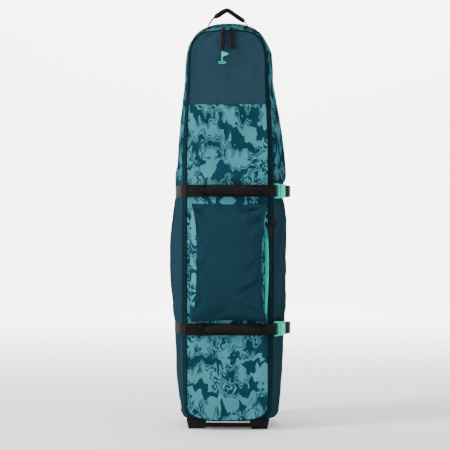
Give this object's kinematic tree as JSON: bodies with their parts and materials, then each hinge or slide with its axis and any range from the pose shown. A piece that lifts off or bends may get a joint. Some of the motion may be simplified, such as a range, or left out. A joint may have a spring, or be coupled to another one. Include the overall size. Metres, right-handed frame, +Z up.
{
  "type": "golf travel case",
  "caption": "tall wheeled soft travel case for a golf bag, with a zipped padded lid, shoe pocket, buckled straps, carry handles and a moulded base",
  "frame": {"origin": "on the floor under the middle of the case", "axes": "+Z up, -Y the lid and front, +X the side with the buckles"},
  "size_m": [0.3871, 0.3621, 1.3426],
  "materials": {
    "teal_cloth": "matt woven",
    "patterned_cloth": "printed woven",
    "foam": "matt",
    "lining": "matt",
    "webbing": "woven",
    "black_plastic": "satin",
    "steel": "brushed",
    "wheel_rubber": "matt",
    "mint_plastic": "satin",
    "slider_metal": "satin",
    "cord": "braided"
  },
  "bodies": {
    "case": {"back_panel": "teal_cloth", "left_side_lower": "teal_cloth", "left_side_upper": "patterned_cloth", "top_panel": "patterned_cloth", "right_side_upper": "patterned_cloth", "right_side_lower": "teal_cloth", "bottom_panel": "teal_cloth", "body_zip": "teal_cloth", "body_foam": "foam", "body_lining": "lining", "base_board": "black_plastic", "sled_base": "black_plastic", "left_wheel_housing": "black_plastic", "right_wheel_housing": "black_plastic", "cross_bar": "black_plastic", "base_screws": "steel", "axle_bolts": "steel", "handle_anchors": "webbing", "upper_strap_back": "webbing", "lower_strap_back": "webbing", "upper_buckle_female": "mint_plastic", "lower_buckle_female": "mint_plastic", "inner_straps": "webbing"},
    "lid": {"lid_top_panel": "teal_cloth", "lid_main_panel": "patterned_cloth", "lid_foam": "foam", "lid_lining": "lining", "lid_piping": "webbing", "lid_rim": "teal_cloth", "lid_zip": "teal_cloth", "pocket_front": "teal_cloth", "pocket_gussets": "patterned_cloth", "pocket_zip": "mint_plastic", "badge": "mint_plastic", "upper_strap_front": "webbing", "lower_strap_front": "webbing", "upper_buckle_male": "mint_plastic", "lower_buckle_male": "mint_plastic"},
    "upper_grab": {"upper_grab_handle": "webbing"},
    "lower_grab": {"lower_grab_handle": "webbing"},
    "haul_handle": {"haul_handle_webbing": "webbing", "haul_handle_grip": "webbing"},
    "left_wheel": {"left_tyre": "wheel_rubber", "left_hub": "black_plastic", "left_bearings": "steel"},
    "right_wheel": {"right_tyre": "wheel_rubber", "right_hub": "black_plastic", "right_bearings": "steel"},
    "main_left": {"main_slider_left": "slider_metal", "main_cord_left": "cord"},
    "main_right": {"main_slider_right": "slider_metal", "main_cord_right": "cord"},
    "pocket_upper": {"pocket_slider_upper": "slider_metal", "pocket_cord_upper": "cord"},
    "pocket_lower": {"pocket_slider_lower": "slider_metal", "pocket_cord_lower": "cord"},
    "upper_latch_top": {"upper_arm_top": "mint_plastic"},
    "upper_latch_bottom": {"upper_arm_bottom": "mint_plastic"},
    "lower_latch_top": {"lower_arm_top": "mint_plastic"},
    "lower_latch_bottom": {"lower_arm_bottom": "mint_plastic"}
  },
  "joints": [
    {"name": "lid_hinge", "type": "hinge", "parent": "case", "child": "lid", "pos_m": [-0.135, -0.104, 0.65], "axis": [0, 0, -1], "range_deg": [0, 120]},
    {"name": "haul_tilt", "type": "hinge", "parent": "case", "child": "haul_handle", "pos_m": [0, -0.055, 1.283], "axis": [1, 0, 0], "range_deg": [-35, 55]},
    {"name": "left_wheel_spin", "type": "hinge", "parent": "case", "child": "left_wheel", "pos_m": [-0.101, 0.152, 0.035], "axis": [1, 0, 0], "continuous": true},
    {"name": "right_wheel_spin", "type": "hinge", "parent": "case", "child": "right_wheel", "pos_m": [0.101, 0.152, 0.035], "axis": [1, 0, 0], "continuous": true},
    {"name": "upper_grab_swing", "type": "hinge", "parent": "lid", "child": "upper_grab", "pos_m": [0.012, -0.145, 0.756], "axis": [1, 0, 0], "range_deg": [-45, 45]},
    {"name": "lower_grab_swing", "type": "hinge", "parent": "lid", "child": "lower_grab", "pos_m": [0.012, -0.145, 0.319], "axis": [1, 0, 0], "range_deg": [-45, 45]},
    {"name": "main_slider_left_run", "type": "slide", "parent": "lid", "child": "main_left", "axis": [-1, 0, 0], "range_m": [0, 0.019]},
    {"name": "main_slider_right_run", "type": "slide", "parent": "lid", "child": "main_right", "axis": [1, 0, 0], "range_m": [0, 0.022]},
    {"name": "pocket_slider_upper_run", "type": "slide", "parent": "lid", "child": "pocket_upper", "axis": [0, 0, -1], "range_m": [0, 0.008]},
    {"name": "pocket_slider_lower_run", "type": "slide", "parent": "lid", "child": "pocket_lower", "axis": [0, 0, -1], "range_m": [0, 0.23]},
    {"name": "upper_latch_top_squeeze", "type": "hinge", "parent": "lid", "child": "upper_latch_top", "pos_m": [0.16275, -0.08592, 0.769], "axis": [-0.866, 0.5, 0], "range_deg": [0, 6], "stiffness_Nm_per_rad": 0.3},
    {"name": "upper_latch_bottom_squeeze", "type": "hinge", "parent": "lid", "child": "upper_latch_bottom", "pos_m": [0.16275, -0.08592, 0.743], "axis": [-0.866, 0.5, 0], "range_deg": [-6, 0], "stiffness_Nm_per_rad": 0.3},
    {"name": "lower_latch_top_squeeze", "type": "hinge", "parent": "lid", "child": "lower_latch_top", "pos_m": [0.16275, -0.08592, 0.332], "axis": [-0.866, 0.5, 0], "range_deg": [0, 6], "stiffness_Nm_per_rad": 0.3},
    {"name": "lower_latch_bottom_squeeze", "type": "hinge", "parent": "lid", "child": "lower_latch_bottom", "pos_m": [0.16275, -0.08592, 0.306], "axis": [-0.866, 0.5, 0], "range_deg": [-6, 0], "stiffness_Nm_per_rad": 0.3}
  ],
  "couplings": [
    {"joint": "upper_latch_bottom_squeeze", "follows": "upper_latch_top_squeeze", "ratio": -1},
    {"joint": "lower_latch_bottom_squeeze", "follows": "lower_latch_top_squeeze", "ratio": -1}
  ]
}
